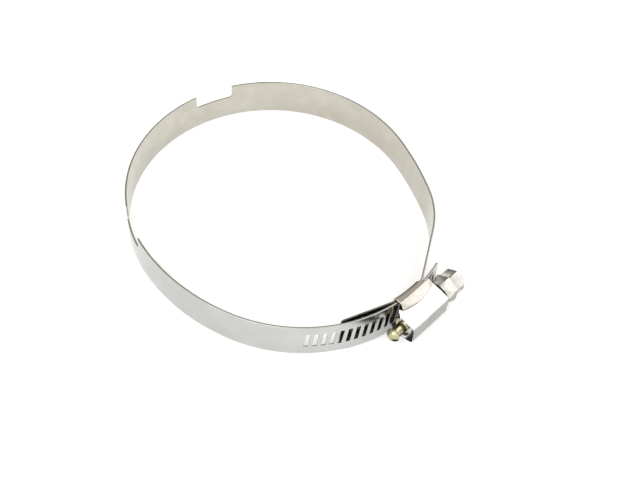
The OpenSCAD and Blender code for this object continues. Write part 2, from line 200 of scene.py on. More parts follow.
def loop_outline():
    """The stretches from the tail's tip round to the inner tongue's end.

    Also the distances along them of the fixed end's start and of the middles of the notches.
    """
    back_r = BORE_R + BAND_T / 2
    to_bore = LEFT_FLANK_R - back_r
    to_slide = LEFT_FLANK_R - SLIDE_R
    gap = SLIDE_C.length
    along = (to_bore ** 2 - to_slide ** 2 + gap ** 2) / (2 * gap)
    across = math.sqrt(to_bore ** 2 - along ** 2)
    slide_dir = SLIDE_C / gap
    left_c = slide_dir * along + Vector((-slide_dir.y, slide_dir.x)) * across
    left_from = 360 + direction_of(SLIDE_C - left_c)
    left_to = direction_of(-left_c)

    right_c = (back_r - RIGHT_FLANK_R) * unit(RIGHT_FLANK_FROM)
    shoulder_c = right_c + (RIGHT_FLANK_R - SHOULDER_R) * unit(RIGHT_FLANK_TO)
    straight_dir = unit(STRAIGHT_ANGLE)
    run_dir = Vector((straight_dir.y, -straight_dir.x))
    run_start = shoulder_c + SHOULDER_R * straight_dir

    fixed_r = SLIDE_R - BAND_T - LAYER_GAP
    drop = (run_start - SLIDE_C).dot(straight_dir) - NECK_R
    side = math.sqrt((fixed_r - NECK_R) ** 2 - drop ** 2)
    neck_c = SLIDE_C + straight_dir * drop + run_dir * side
    neck_to = direction_of(neck_c - SLIDE_C)
    run_len = (neck_c - run_start).dot(run_dir)

    kink_from = -90 - math.degrees(math.asin((SLIDE_C.x - SADDLE_LEFT) / fixed_r))
    kink_c = SLIDE_C + (fixed_r - NECK_R) * unit(kink_from)
    tongue_start = kink_c + NECK_R * unit(TONGUE_ANGLE)

    parts = [
        Arc(SLIDE_C, SLIDE_R, TAIL_ANGLE, left_from),
        Arc(left_c, LEFT_FLANK_R, left_from, left_to),
        Arc(Vector((0, 0)), back_r, left_to, RIGHT_FLANK_FROM),
        Arc(right_c, RIGHT_FLANK_R, RIGHT_FLANK_FROM, RIGHT_FLANK_TO),
        Arc(shoulder_c, SHOULDER_R, RIGHT_FLANK_TO, STRAIGHT_ANGLE),
        Straight(run_start, STRAIGHT_ANGLE, run_len),
        Arc(neck_c, NECK_R, STRAIGHT_ANGLE, neck_to),
        Arc(SLIDE_C, fixed_r, neck_to, kink_from),
        Arc(kink_c, NECK_R, kink_from, TONGUE_ANGLE),
        Straight(tongue_start, TONGUE_ANGLE, TONGUE_LEN),
    ]
    closing_angle = -90 + math.degrees(math.asin((CLOSING_X - SLIDE_C.x) / fixed_r))
    neck_end = sum(p.length for p in parts[:NECK + 1])
    closing_at = neck_end + turn_len(fixed_r, neck_to - closing_angle)
    back_start = parts[0].length + parts[1].length
    notches = [back_start + turn_len(back_r, left_to - a) for a in NOTCH_ANGLES]
    return parts, closing_at, notches


OUTLINE, CLOSING_AT, NOTCHES_AT = loop_outline()
BAND_LEN = sum(p.length for p in OUTLINE)
SLOTTED_LEN = turn_len(SLIDE_R, TAIL_ANGLE - SLOTTED_END_ANGLE)
LINK_LEN = (sum(p.length for p in OUTLINE[:NECK]) - SLOTTED_LEN) / LINK_COUNT


def band_at(s):
    """(point on the band's middle line, outward direction) at a distance from the tail's tip."""
    for part in OUTLINE:
        if s <= part.length or part is OUTLINE[-1]:
            return part.at(s)
        s -= part.length


# ---------------------------------------------------------------- mesh helpers

def new_object(name, mesh, smooth_angle=35):
    """A mesh object in the scene, smooth-shaded except across edges sharper than the angle."""
    mesh.polygons.foreach_set("use_smooth", [True] * len(mesh.polygons))
    mesh.set_sharp_from_angle(angle=math.radians(smooth_angle))
    obj = bpy.data.objects.new(name, mesh)
    bpy.context.scene.collection.objects.link(obj)
    return obj


def mesh_from(name, points, faces):
    mesh = bpy.data.meshes.new(name)
    mesh.from_pydata(points, [], faces)
    mesh.validate()
    return mesh


def recalculated(mesh):
    """The mesh with its faces turned outwards."""
    bm = bmesh.new()
    bm.from_mesh(mesh)
    bmesh.ops.recalc_face_normals(bm, faces=bm.faces)
    bm.to_mesh(mesh)
    bm.free()
    return mesh


def with_modifiers(obj):
    """Applies an object's modifiers to its mesh."""
    depsgraph = bpy.context.evaluated_depsgraph_get()
    mesh = bpy.data.meshes.new_from_object(obj.evaluated_get(depsgraph))
    obj.modifiers.clear()
    obj.data = mesh
    return obj


def ring_faces(rings, around, closed_rows=False, closed_round=True):
    """Quads between rings of points, each ring having the same number of points."""
    faces = []
    rows = rings if closed_rows else rings - 1
    columns = around if closed_round else around - 1
    for i in range(rows):
        for j in range(columns):
            a, b = i * around + j, i * around + (j + 1) % around
            c, d = ((i + 1) % rings) * around + (j + 1) % around, ((i + 1) % rings) * around + j
            faces.append((a, b, c, d))
    return faces


# ---------------------------------------------------------------- band

def rounded_bar(centre, width, length, radius, lean):
    """Outline of a round-cornered bar in (distance, height), leaning from upright."""
    points = []
    corner_steps = 4
    for cx, cy, start in ((1, 1, 0), (-1, 1, 90), (-1, -1, 180), (1, -1, 270)):
        for i in range(corner_steps + 1):
            corner = Vector((cx * (width / 2 - radius), cy * (length / 2 - radius)))
            p = corner + radius * unit(start + 90 * i / corner_steps)
            p.rotate(Matrix.Rotation(math.radians(lean), 2))
            points.append(centre + p)
    return points


def notch_points(s):
    """The cut in the band's upper edge, walked from its far side to its near side."""
    top, floor = BAND_W / 2, BAND_W / 2 - NOTCH_DEPTH
    points = [Vector((s + NOTCH_LEN / 2, top))]
    corner_steps = 6
    for side, start in ((1, 0), (-1, -90)):
        corner = Vector((s + side * (NOTCH_LEN / 2 - NOTCH_CORNER_R), floor + NOTCH_CORNER_R))
        for i in range(corner_steps + 1):
            points.append(corner + NOTCH_CORNER_R * unit(start - 90 * i / corner_steps))
    points.append(Vector((s - NOTCH_LEN / 2, top)))
    return points


def flat_band():
    """The whole strip laid flat: x runs from the tail's tip, y is the height, z is outwards."""
    half = BAND_W / 2
    end_r = 0.8
    corner_steps = 4
    weld = 0.001

    def corner(x, y, start):
        centre = Vector((x, y))
        turns = [start + 90 * i / corner_steps for i in range(corner_steps + 1)]
        return [centre + end_r * unit(turn) for turn in turns]

    outline = corner(end_r, end_r - half, 180)
    outline += corner(BAND_LEN - end_r, end_r - half, 270)
    outline += corner(BAND_LEN - end_r, half - end_r, 0)
    for s in sorted(NOTCHES_AT, reverse=True):
        outline += notch_points(s)
    outline += corner(end_r, half - end_r, 90)

    slot_lean = math.degrees(math.atan(SLOT_PITCH / (math.pi * (SCREW_LIFT + THREAD_R))))
    slots = []
    for i in range(SLOT_COUNT):
        angle = FIRST_SLOT_ANGLE + i * math.degrees(SLOT_PITCH / SLIDE_R)
        s = turn_len(SLIDE_R, TAIL_ANGLE - angle)
        slots.append(rounded_bar(Vector((s, 0)), SLOT_W, SLOT_LEN, SLOT_CORNER_R, slot_lean))

    curve = bpy.data.curves.new("flat_band", "CURVE")
    curve.dimensions = "2D"
    curve.fill_mode = "BOTH"
    curve.bevel_depth = BAND_EDGE_R
    curve.bevel_resolution = 1
    curve.extrude = BAND_T / 2 - BAND_EDGE_R
    curve.offset = -BAND_EDGE_R
    for points in [outline] + slots:
        spline = curve.splines.new("POLY")
        spline.points.add(len(points) - 1)
        spline.use_cyclic_u = True
        for target, p in zip(spline.points, points):
            target.co = (p.x, p.y, 0, 1)
    obj = bpy.data.objects.new("flat_band", curve)
    bpy.context.scene.collection.objects.link(obj)
    depsgraph = bpy.context.evaluated_depsgraph_get()
    mesh = bpy.data.meshes.new_from_object(obj.evaluated_get(depsgraph))
    bpy.data.objects.remove(obj)
    bm = bmesh.new()
    bm.from_mesh(mesh)
    bmesh.ops.remove_doubles(bm, verts=bm.verts, dist=weld)
    return bm


FLAT_BAND = flat_band()


def cut(bm, x, clear_before=False, clear_after=False):
    """Cuts a flat band across at distance x, and drops what lies before or after the cut."""
    bmesh.ops.bisect_plane(
        bm, geom=bm.verts[:] + bm.edges[:] + bm.faces[:], dist=1e-5,
        plane_co=(x, 0, 0), plane_no=(1, 0, 0),
        clear_inner=clear_before, clear_outer=clear_after)


def band_piece(name, s0, s1, step=0.9):
    """The band from s0 to s1, cut into short lengths and bent to the loop's outline."""
    bm = FLAT_BAND.copy()
    if s0 > 0:
        cut(bm, s0, clear_before=True)
    if s1 < BAND_LEN:
        cut(bm, s1, clear_after=True)
    bmesh.ops.holes_fill(bm, edges=[e for e in bm.edges if e.is_boundary], sides=0)
    steps = max(2, math.ceil((s1 - s0) / step))
    for i in range(1, steps):
        cut(bm, s0 + (s1 - s0) * i / steps)
    along = bm.loops.layers.uv.new("along_across")
    inside = bm.verts.layers.float.new("inside")
    for face in bm.faces:
        for loop in face.loops:
            loop[along].uv = (loop.vert.co.x * MM, loop.vert.co.y * MM)
    for vert in bm.verts:
        s, height, out = vert.co
        point, normal = band_at(s)
        vert[inside] = 1.0 if out < 0 else 0.0
        p = point + normal * out
        vert.co = Vector((p.x, p.y, height)) * MM
    bmesh.ops.recalc_face_normals(bm, faces=bm.faces)
    mesh = bpy.data.meshes.new(name)
    bm.to_mesh(mesh)
    bm.free()
    return new_object(name, mesh, smooth_angle=50)


def cut_point(s):
    """The middle of the band at a distance, in metres."""
    point, _ = band_at(s)
    return (point.x * MM, point.y * MM, 0)


def build_band():
    """The visible band: one stretch across each joint."""
    first_cut = SLOTTED_LEN - LINK_LEN / 2
    cuts = [first_cut] + [SLOTTED_LEN + (k + 0.5) * LINK_LEN for k in range(LINK_COUNT)]

    slotted = band_piece("band_slotted", 0, first_cut)
    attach(slotted, "slotted_end")
    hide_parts("band_slotted_end")
    pieces = [slotted]
    for k in range(LINK_COUNT):
        s0, s1 = cuts[k], cuts[k + 1]
        piece = band_piece(f"band_loop_{k + 1:02d}", s0, s1)
        cut_point(s0)
        cut_point(s1)
        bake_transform(piece)
        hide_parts(CAD_LINKS[k])
        pieces.append(piece)
    last = band_piece("band_run_in", cuts[-1], CLOSING_AT - CLOSING_GAP)
    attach(last, "link_11")
    pieces.append(last)
    fixed = band_piece("band_tongue", CLOSING_AT, BAND_LEN)
    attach(fixed, "clamp_base")
    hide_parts("band_fixed_end")
    pieces.append(fixed)
    return pieces


# ---------------------------------------------------------------- saddle

STRAP_OUTER_R = SLIDE_R - BAND_T * 1.5 - 2 * LAYER_GAP
EAR_CENTRE_X = (SADDLE_LEFT + EAR_RIGHT) / 2


def arc_y(radius, x):
    """Y of a circle about the slide centre, on the housing's side."""
    return SLIDE_C.y - math.sqrt(radius ** 2 - (x - SLIDE_C.x) ** 2)


def ear_edge_height(x):
    """Height of an ear's free edge, which bows away from the band."""
    return EAR_HEIGHT - (x - EAR_CENTRE_X) ** 2 / (2 * EAR_BOW_R)


def saddle_half_section(x):
    """[z, Y] points down one side of the saddle at x: ear, fold, wall, lower corner, strap."""
    corner_r = 0.9
    ear_steps, wall_steps, strap_steps = 6, 3, 6
    turn_steps = 8
    wall_z = TUNNEL_HALF_W + SADDLE_T / 2
    edge = Vector((EAR_HALF_W, ear_edge_height(x)))
    lean = math.atan2(wall_z - edge.x, edge.y - FOLD_HEIGHT)
    lean_angle = math.degrees(lean)
    fold_c = Vector((wall_z - FOLD_R, FOLD_HEIGHT - FOLD_R * math.tan(lean / 2)))
    strap_h = SCREW_Y - arc_y(STRAP_OUTER_R - SADDLE_T / 2, x)
    corner_c = Vector((wall_z - corner_r, strap_h + corner_r))
    ear_top = fold_c + FOLD_R * unit(lean_angle)
    foot = Vector((wall_z, corner_c.y))

    points = [edge.lerp(ear_top, i / ear_steps) for i in range(ear_steps)]
    for i in range(turn_steps + 1):
        points.append(fold_c + FOLD_R * unit(lean_angle * (1 - i / turn_steps)))
    wall_top = points[-1]
    points += [wall_top.lerp(foot, i / wall_steps) for i in range(1, wall_steps)]
    points += [corner_c + corner_r * unit(-90 * i / turn_steps) for i in range(turn_steps + 1)]
    for i in range(1, strap_steps + 1):
        points.append(Vector((corner_c.x * (1 - i / strap_steps), strap_h)))
    return [(p.x, SCREW_Y - p.y) for p in points]


def saddle_right_end(y):
    """Right end of the saddle at a level: short on the strap, slanting out to the ears."""
    strap_y = arc_y(STRAP_OUTER_R, STRAP_RIGHT) - SLANT_DROP
    ear_y = SCREW_Y - ear_edge_height(EAR_RIGHT)
    share = (y - strap_y) / (ear_y - strap_y)
    return STRAP_RIGHT + (EAR_RIGHT - STRAP_RIGHT) * min(1.0, max(0.0, share))


def thickened(obj, thickness, bevel_angle):
    """Gives a sheet its thickness about its middle, and eases its edges."""
    solid = obj.modifiers.new("sheet", "SOLIDIFY")
    solid.thickness = thickness * MM
    solid.offset = 0
    solid.use_even_offset = True
    bevel = obj.modifiers.new("edges", "BEVEL")
    bevel.width = SHEET_EASE * MM
    bevel.segments = 2
    bevel.limit_method = "ANGLE"
    bevel.angle_limit = math.radians(bevel_angle)
    return with_modifiers(obj)


def build_saddle():
    """One folded sheet: a grid of points across and along, thickened and with eased edges."""
    columns = 28
    settle_rounds = 6
    half = len(saddle_half_section(0.0))
    across = 2 * half - 1
    points = []
    for i in range(columns + 1):
        for j in range(across):
            k = j if j < half else across - 1 - j
            # a point's x and its level depend on each other, so they are settled in turns
            x = 0.0
            for _ in range(settle_rounds):
                z, y = saddle_half_section(x)[k]
                x = SADDLE_LEFT + i / columns * (saddle_right_end(y) - SADDLE_LEFT)
            z, y = saddle_half_section(x)[k]
            points.append((x * MM, y * MM, (z if j < half else -z) * MM))
    faces = ring_faces(columns + 1, across, closed_round=False)
    sheet = recalculated(mesh_from("saddle_sheet", points, faces))
    obj = thickened(new_object("saddle_sheet", sheet), SADDLE_T, bevel_angle=50)
    obj.data.set_sharp_from_angle(angle=math.radians(60))
    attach(obj, "clamp_base")
    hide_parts("saddle")
    return obj


# ---------------------------------------------------------------- housing

SIDE_SLOPE = (FOOT_HALF_W - CROWN_HALF_W) / (CROWN_REACH + SCREW_LIFT)


def side_half_w(height):
    """Half width of the housing at a height above the screw's axis."""
    return CROWN_HALF_W + SIDE_SLOPE * (CROWN_REACH - height)


def arch(inset, foot):
    """Housing outline across X, from one foot over the crown to the other, moved in by inset."""
    least_r = 0.12
    bulge = 0.06
    side_steps, corner_steps, crown_steps = 8, 8, 4
    lean = math.atan(SIDE_SLOPE)
    lean_angle = math.degrees(lean)
    radius = max(CROWN_EDGE_R - inset, least_r)
    top = CROWN_REACH - inset
    side_top = side_half_w(top) - inset / math.cos(lean)
    corner = Vector((side_top + SIDE_SLOPE * radius - radius / math.cos(lean), top - radius))
    foot_point = Vector((side_half_w(foot) - inset / math.cos(lean), foot))
    side_end = corner + radius * unit(lean_angle)

    half = [foot_point.lerp(side_end, i / side_steps) for i in range(side_steps)]
    for i in range(corner_steps + 1):
        half.append(corner + radius * unit(lean_angle + (90 - lean_angle) * i / corner_steps))
    crown = []
    for i in range(1, 2 * crown_steps):
        z = corner.x * (1 - i / crown_steps)
        crown.append(Vector((z, top + bulge * (1 - (z / corner.x) ** 2))))
    other = [Vector((-p.x, p.y)) for p in reversed(half)]
    return half + crown + other


def hole_arch(outline, radius):
    """The opening round the screw's tip: round above, straight down to the foot below."""
    points = []
    for p in outline:
        if p.y >= 0:
            points.append(radius * p.normalized())
        else:
            points.append(Vector((math.copysign(radius, p.x), p.y)))
    return points


def foot_height(x):
    """Where the side walls end: on the band, or on the slanting cut at the tip end."""
    slope = (SCREW_LIFT + FOOT_CUT_TOP + FOOT_CUT_PAST) / FOOT_CUT_LEN
    on_cut = FOOT_CUT_TOP - slope * (x - HOUSING_LEFT)
    return max(on_cut, SCREW_Y - arc_y(SLIDE_R + BAND_T / 2 + FOOT_GAP, x))


def build_housing():
    """The pressed cover: an arch drawn along X that turns in at the tip end round an opening."""
    end_r = 0.35
    end_steps = 6
    lengths = 24
    outer_left = HOUSING_LEFT + end_r
    inner_left = HOUSING_LEFT + HOUSING_T
    right = HOUSING_RIGHT - SHEET_EASE
    rings = []

    def ring(x, inset):
        rings.append([(x, p) for p in arch(inset, foot_height(x))])

    def hole_ring(x, radius):
        rings.append([(x, p) for p in hole_arch(arch(HOUSING_T, foot_height(x)), radius)])

    ring(HOUSING_RIGHT, HOUSING_T - SHEET_EASE)
    ring(HOUSING_RIGHT, SHEET_EASE)
    for i in range(lengths):
        ring(right + (outer_left - right) * i / lengths, 0)
    for i in range(end_steps + 1):
        turn = math.radians(90 * i / end_steps)
        ring(HOUSING_LEFT + end_r * (1 - math.sin(turn)), end_r * (1 - math.cos(turn)))
    hole_ring(HOUSING_LEFT, TIP_HOLE_R + SHEET_EASE)
    hole_ring(HOUSING_LEFT + SHEET_EASE, TIP_HOLE_R)
    hole_ring(inner_left, TIP_HOLE_R)
    for i in range(lengths + 1):
        ring(inner_left + (right - inner_left) * i / lengths, HOUSING_T)

    count = len(rings[0])
    points = [(x * MM, (SCREW_Y - p.y) * MM, p.x * MM) for row in rings for x, p in row]
    faces = ring_faces(len(rings), count, closed_rows=True, closed_round=False)
    for j in (0, count - 1):
        faces.append([i * count + j for i in range(len(rings))])
    shell = recalculated(mesh_from("housing_cover", points, faces))
    cover = new_object("housing_cover", shell, smooth_angle=40)
    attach(cover, "clamp_base")
    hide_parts("housing")
    return [cover] + [build_flange(side) for side in (1, -1)]


def build_flange(side):
    """One of the two thin feet that lie on the band under the saddle's ears."""
    columns, rows = 16, 4
    middle_r = SLIDE_R + BAND_T / 2 + FOOT_GAP + HOUSING_T / 2
    inner_z = FOOT_HALF_W - HOUSING_T / 2
    points = []
    for i in range(columns + 1):
        x = FLANGE_HALF_LEN * (2 * i / columns - 1)
        for j in range(rows + 1):
            z = inner_z + (FLANGE_HALF_W - inner_z) * j / rows
            points.append((x * MM, arc_y(middle_r, x) * MM, side * z * MM))
    name = "housing_foot_upper" if side > 0 else "housing_foot_lower"
    faces = ring_faces(columns + 1, rows + 1, closed_round=False)
    sheet = recalculated(mesh_from(name, points, faces))
    obj = thickened(new_object(name, sheet), HOUSING_T, bevel_angle=30)
    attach(obj, "clamp_base")
    return obj


# ---------------------------------------------------------------- screw

COLLAR_FROM = HOUSING_RIGHT + COLLAR_GAP
HEX_FROM = COLLAR_FROM + COLLAR_LEN
NOSE_FROM = HEX_FROM + HEX_LEN
NOSE_TO = NOSE_FROM + NOSE_LEN
THREAD_FROM = HOUSING_LEFT + HOUSING_T + THREAD_END_GAP
JOURNAL_FROM = HOUSING_RIGHT - 2 * HOUSING_T
THREAD_TO = JOURNAL_FROM - THREAD_TO_JOURNAL


def turned(name, profile, smooth_angle=35, around=96):
    """A closed turned shape about the screw's axis, from (x, radius) pairs.

    A radius is a number, or a function of the angle round the axis.
    """
    points = []
    for x, radius in profile:
        for j in range(around):
            angle = 360 * j / around
            r = radius(angle) if callable(radius) else radius
            d = unit(angle)
            points.append((x * MM, (SCREW_Y + r * d.y) * MM, r * d.x * MM))
    faces = ring_faces(len(profile), around)
    faces.append(list(range(around)))
    faces.append([(len(profile) - 1) * around + j for j in range(around)])
    return new_object(name, recalculated(mesh_from(name, points, faces)), smooth_angle)


def hexagon(across_flats, limit):
    """Radius of a hexagon at an angle, no larger than a limit."""
    def radius(angle):
        from_flat = angle % 60 - 30
        return min(across_flats / 2 / math.cos(math.radians(from_flat)), limit)
    return radius


def build_shank():
    """Domed tip, neck, core, journal and washer face, turned in one piece."""
    dome_steps = 8
    dome_spacing = 1.6         # over 1, so the dome's rings crowd towards its pole
    pole_r = 0.05
    rim_ease = 0.05
    neck_ease = 0.2
    ease = 0.15
    into_head = 0.2
    rim_from = TIP_X + TIP_DOME_LEN
    neck_from = rim_from + TIP_RIM_LEN
    dome_r = (TIP_R ** 2 + TIP_DOME_LEN ** 2) / (2 * TIP_DOME_LEN)
    profile = []
    for i in range(dome_steps + 1):
        depth = TIP_DOME_LEN * (i / dome_steps) ** dome_spacing
        r = math.sqrt(max(dome_r ** 2 - (dome_r - depth) ** 2, 0.0))
        profile.append((TIP_X + depth, max(r, pole_r)))
    profile += [
        (rim_from + TIP_RIM_LEN / 2, TIP_R - rim_ease),
        (neck_from, TIP_NECK_R + rim_ease),
        (neck_from + neck_ease, TIP_NECK_R),
        (THREAD_FROM - ease, TIP_NECK_R),
        (THREAD_FROM, TIP_NECK_R + ease),
        (THREAD_FROM, CORE_R - ease),
        (THREAD_FROM + ease, CORE_R),
        (JOURNAL_FROM, CORE_R),
        (JOURNAL_FROM, JOURNAL_R),
        (COLLAR_FROM, JOURNAL_R),
        (COLLAR_FROM + ease, COLLAR_R),
        (HEX_FROM + into_head, COLLAR_R),
    ]
    return turned("screw_shank", profile)


def build_thread():
    """One rounded ridge wound right-handed round the core."""
    steps = 48                 # to a turn
    fade_steps = 14
    ease = 0.08
    shoulder_share = 0.85      # height of the ridge's shoulders, as a share of its crest
    half_root, half_crest = THREAD_ROOT_W / 2, THREAD_CREST_W / 2
    first_x = THREAD_FROM + half_root
    turns = (THREAD_TO - THREAD_FROM - THREAD_ROOT_W) / SLOT_PITCH
    count = math.ceil(turns * steps)
    # turned so that the ridge stands in the slot nearest the housing's middle
    slot_turn = math.degrees(SLOT_PITCH / SLIDE_R)
    nearest = round((270 - FIRST_SLOT_ANGLE) / slot_turn)
    slot_x = SLIDE_C.x + SLIDE_R * unit(FIRST_SLOT_ANGLE + nearest * slot_turn).x
    phase = 90 - (slot_x - first_x) / SLOT_PITCH * 360
    points = []
    for i in range(count + 1):
        angle = math.radians(phase + 360 * i / steps)
        x = first_x + SLOT_PITCH * i / steps
        fade = min(1.0, min(i, count - i) / fade_steps)
        in_r = CORE_R - THREAD_SINK
        out_r = CORE_R + (THREAD_R - CORE_R) * fade
        shoulder_r = CORE_R + (out_r - CORE_R) * shoulder_share
        profile = [
            (-half_root, in_r),
            (-half_crest - ease, shoulder_r),
            (-half_crest + ease, out_r),
            (half_crest - ease, out_r),
            (half_crest + ease, shoulder_r),
            (half_root, in_r),
        ]
        for dx, r in profile:
            y = SCREW_Y + r * math.sin(angle)
            points.append(((x + dx) * MM, y * MM, -r * math.cos(angle) * MM))
    around = len(profile)
    faces = ring_faces(count + 1, around)
    faces += [list(range(around)), [count * around + j for j in range(around)]]
    ridge = recalculated(mesh_from("screw_thread", points, faces))
    return new_object("screw_thread", ridge, smooth_angle=40)


def cut_driver_slot(head):
    """Cuts the screwdriver slot across the end of the nose."""
    across = 20
    box = bpy.data.meshes.new("driver_slot")
    bm = bmesh.new()
    bmesh.ops.create_cube(bm, size=1)
    size = Matrix.Diagonal((2 * DRIVER_SLOT_DEPTH * MM, across * MM, DRIVER_SLOT_W * MM, 1))
    bm.transform(Matrix.Translation((NOSE_TO * MM, SCREW_Y * MM, 0)) @ size)
    bm.to_mesh(box)
    bm.free()
    cutter = bpy.data.objects.new("driver_slot", box)
    bpy.context.scene.collection.objects.link(cutter)
    slot = head.modifiers.new("slot", "BOOLEAN")
    slot.object = cutter
    slot.operation = "DIFFERENCE"
    slot.solver = "EXACT"
    with_modifiers(head)
    bpy.data.objects.remove(cutter)
    head.data.set_sharp_from_angle(angle=math.radians(30))


def build_head():
    """Hexagon with a bevelled near side, a smaller hexagonal nose and a driver slot across it."""
    hex_r = HEX_AF / 2 / math.cos(math.radians(30))
    nose_r = NOSE_AF / 2 / math.cos(math.radians(30))
    bevel_steps, chamfer_steps = 12, 8
    under_collar = 0.3
    step = 0.2                 # length of the rounding on each side of the step to the nose
    worn = 0.1                 # taken off the nose's corners
    corners_in, flats_in = 0.7, 0.5

    profile = [(HEX_FROM, COLLAR_R - under_collar)]
    bevel_from, bevel_to = HEX_AF / 2 - BEVEL_LAP, hex_r + BEVEL_LAP
    for i in range(bevel_steps + 1):
        limit = bevel_from + (bevel_to - bevel_from) * i / bevel_steps
        profile.append((HEX_FROM + HEX_BEVEL_LEN * i / bevel_steps, hexagon(HEX_AF, limit)))
    rounding = (               # (distance past the step, across flats, limit on the corners)
        (-step, HEX_AF, hex_r),
        (-step / 3, HEX_AF - step, hex_r - step),
        (0, HEX_AF - 2.5 * step, hex_r - 1.75 * step),
        (0, NOSE_AF + step, nose_r),
        (step, NOSE_AF, nose_r - worn),
    )
    profile += [(NOSE_FROM + past, hexagon(flats, limit)) for past, flats, limit in rounding]
    for i in range(chamfer_steps + 1):
        turn = math.radians(90 * i / chamfer_steps)
        x = NOSE_TO - NOSE_CHAMFER + NOSE_CHAMFER * math.sin(turn)
        drop = 1 - math.cos(turn)
        profile.append((x, hexagon(NOSE_AF - flats_in * drop, nose_r - worn - corners_in * drop)))
    head = turned("screw_head", profile, smooth_angle=30)
    cut_driver_slot(head)
    return head


def build_screw():
    """Shank, thread and head, which turn together."""
    pieces = [build_shank(), build_thread(), build_head()]
    for piece in pieces:
        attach(piece, "worm")
    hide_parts("worm_screw")
    return pieces


# ---------------------------------------------------------------- materials

class Nodes:
    """Short names for building one material's nodes."""

    def __init__(self, name):
        self.material = bpy.data.materials.new(name)
        self.material.use_nodes = True
        self.tree = self.material.node_tree
        self.shader = self.tree.nodes["Principled BSDF"]

    def add(self, kind, **settings):
        node = self.tree.nodes.new(kind)
        for key, value in settings.items():
            setattr(node, key, value)
        return node

    def link(self, source, target):
        self.tree.links.new(source, target)

    def coordinates(self, scale=(1, 1, 1), uv=None):
        """Object coordinates, or those of a UV layer, stretched by a scale."""
        if uv:
            start = self.add("ShaderNodeUVMap", uv_map=uv).outputs["UV"]
        else:
            start = self.add("ShaderNodeTexCoord").outputs["Object"]
        mapping = self.add("ShaderNodeMapping")
        mapping.inputs["Scale"].default_value = scale
        self.link(start, mapping.inputs["Vector"])
        return mapping.outputs["Vector"]

    def along_x(self, vector):
        """The first part of a vector."""
        node = self.add("ShaderNodeSeparateXYZ")
        self.link(vector, node.inputs["Vector"])
        return node.outputs["X"]

    def noise(self, vector, scale, detail=4.0):
        node = self.add("ShaderNodeTexNoise")
        node.inputs["Scale"].default_value = scale
        node.inputs["Detail"].default_value = detail
        self.link(vector, node.inputs["Vector"])
        return node.outputs["Fac"]

    def spread(self, value, low, high, out_low, out_high):
        """Maps a value from one range to another, clamped."""
        node = self.add("ShaderNodeMapRange")
        node.inputs["From Min"].default_value = low
        node.inputs["From Max"].default_value = high
        node.inputs["To Min"].default_value = out_low
        node.inputs["To Max"].default_value = out_high
        self.link(value, node.inputs["Value"])
        return node.outputs["Result"]

    def mix(self, factor, first, second):
        node = self.add("ShaderNodeMix", data_type="RGBA")
        self.link(factor, node.inputs["Factor"])
        for value, socket in ((first, node.inputs["A"]), (second, node.inputs["B"])):
            if isinstance(value, tuple):
                socket.default_value = (*value, 1)
            else:
                self.link(value, socket)
        return node.outputs["Result"]

    def bump(self, height, strength, distance, normal=None):
        node = self.add("ShaderNodeBump")
        node.inputs["Strength"].default_value = strength
        node.inputs["Distance"].default_value = distance
        self.link(height, node.inputs["Height"])
        if normal:
            self.link(normal, node.inputs["Normal"])
        return node.outputs["Normal"]


def band_material():
    """Rolled stainless strip: fine lines along it, faint blotches, a warmer inner face that is
    painted light.

    The outer face of the stretch held in the saddle is painted shade, dark for the shadow between
    the band's layers.
    """
    m = Nodes("band_steel_look")
    m.shader.inputs["Metallic"].default_value = 1.0
    m.shader.inputs["Anisotropic"].default_value = 0.4
    place = m.coordinates(uv="along_across")
    lines = m.noise(m.coordinates((60, 9000, 1), uv="along_across"), 1.0, detail=3.0)
    blotches = m.noise(place, 160.0, detail=3.0)
    specks = m.noise(place, 1500.0, detail=2.0)
    patch = m.spread(blotches, 0.35, 0.7, 0, 1)
    tone = m.mix(patch, (0.44, 0.44, 0.43), (0.48, 0.48, 0.47))
    # painted light: the inner face is tinted warmer to stand in for light falling on it
    inner_painted_light = m.mix(patch, (0.45, 0.43, 0.375), (0.50, 0.485, 0.43))
    inside = m.add("ShaderNodeAttribute", attribute_name="inside").outputs["Fac"]
    bare = m.mix(inside, tone, inner_painted_light)
    steel = m.mix(m.spread(specks, 0.68, 0.78, 0, 0.5), bare, (0.28, 0.27, 0.25))
    # painted shade: the outer face of the stretch held in the saddle is darkened for the shadow
    # between the band's layers
    held = m.spread(m.along_x(place), (CLOSING_AT - 1) * MM, (CLOSING_AT + 1) * MM, 0, 1)
    outer_painted_shade = m.mix(held, steel, (0.05, 0.05, 0.05))
    m.link(m.mix(inside, outer_painted_shade, steel), m.shader.inputs["Base Color"])
    m.link(m.spread(lines, 0.3, 0.7, 0.12, 0.24), m.shader.inputs["Roughness"])
    rolled = m.bump(lines, 0.25, 0.02 * MM)
    m.link(m.bump(blotches, 0.12, 0.2 * MM, rolled), m.shader.inputs["Normal"])
    return m.material


def sheet_material(name, dark, light, stain, roughness):
    """Pressed stainless sheet: soft blotches, short scuffs and small dents."""
    m = Nodes(name)
    m.shader.inputs["Metallic"].default_value = 1.0
    place = m.coordinates()
    soft = m.noise(place, 220.0, detail=3.0)
    scuffs = m.noise(m.coordinates((400, 2600, 2600)), 1.0)
    dents = m.noise(place, 700.0, detail=1.0)
    tone = m.mix(m.spread(soft, 0.35, 0.68, 0, 1), dark, light)
    marked = m.mix(m.spread(scuffs, 0.62, 0.74, 0, 0.55), tone, stain)
    m.link(marked, m.shader.inputs["Base Color"])
    m.link(m.spread(scuffs, 0.3, 0.7, *roughness), m.shader.inputs["Roughness"])
    scuffed = m.bump(scuffs, 0.15, 0.02 * MM)
    m.link(m.bump(dents, 0.3, 0.08 * MM, scuffed), m.shader.inputs["Normal"])
    return m.material


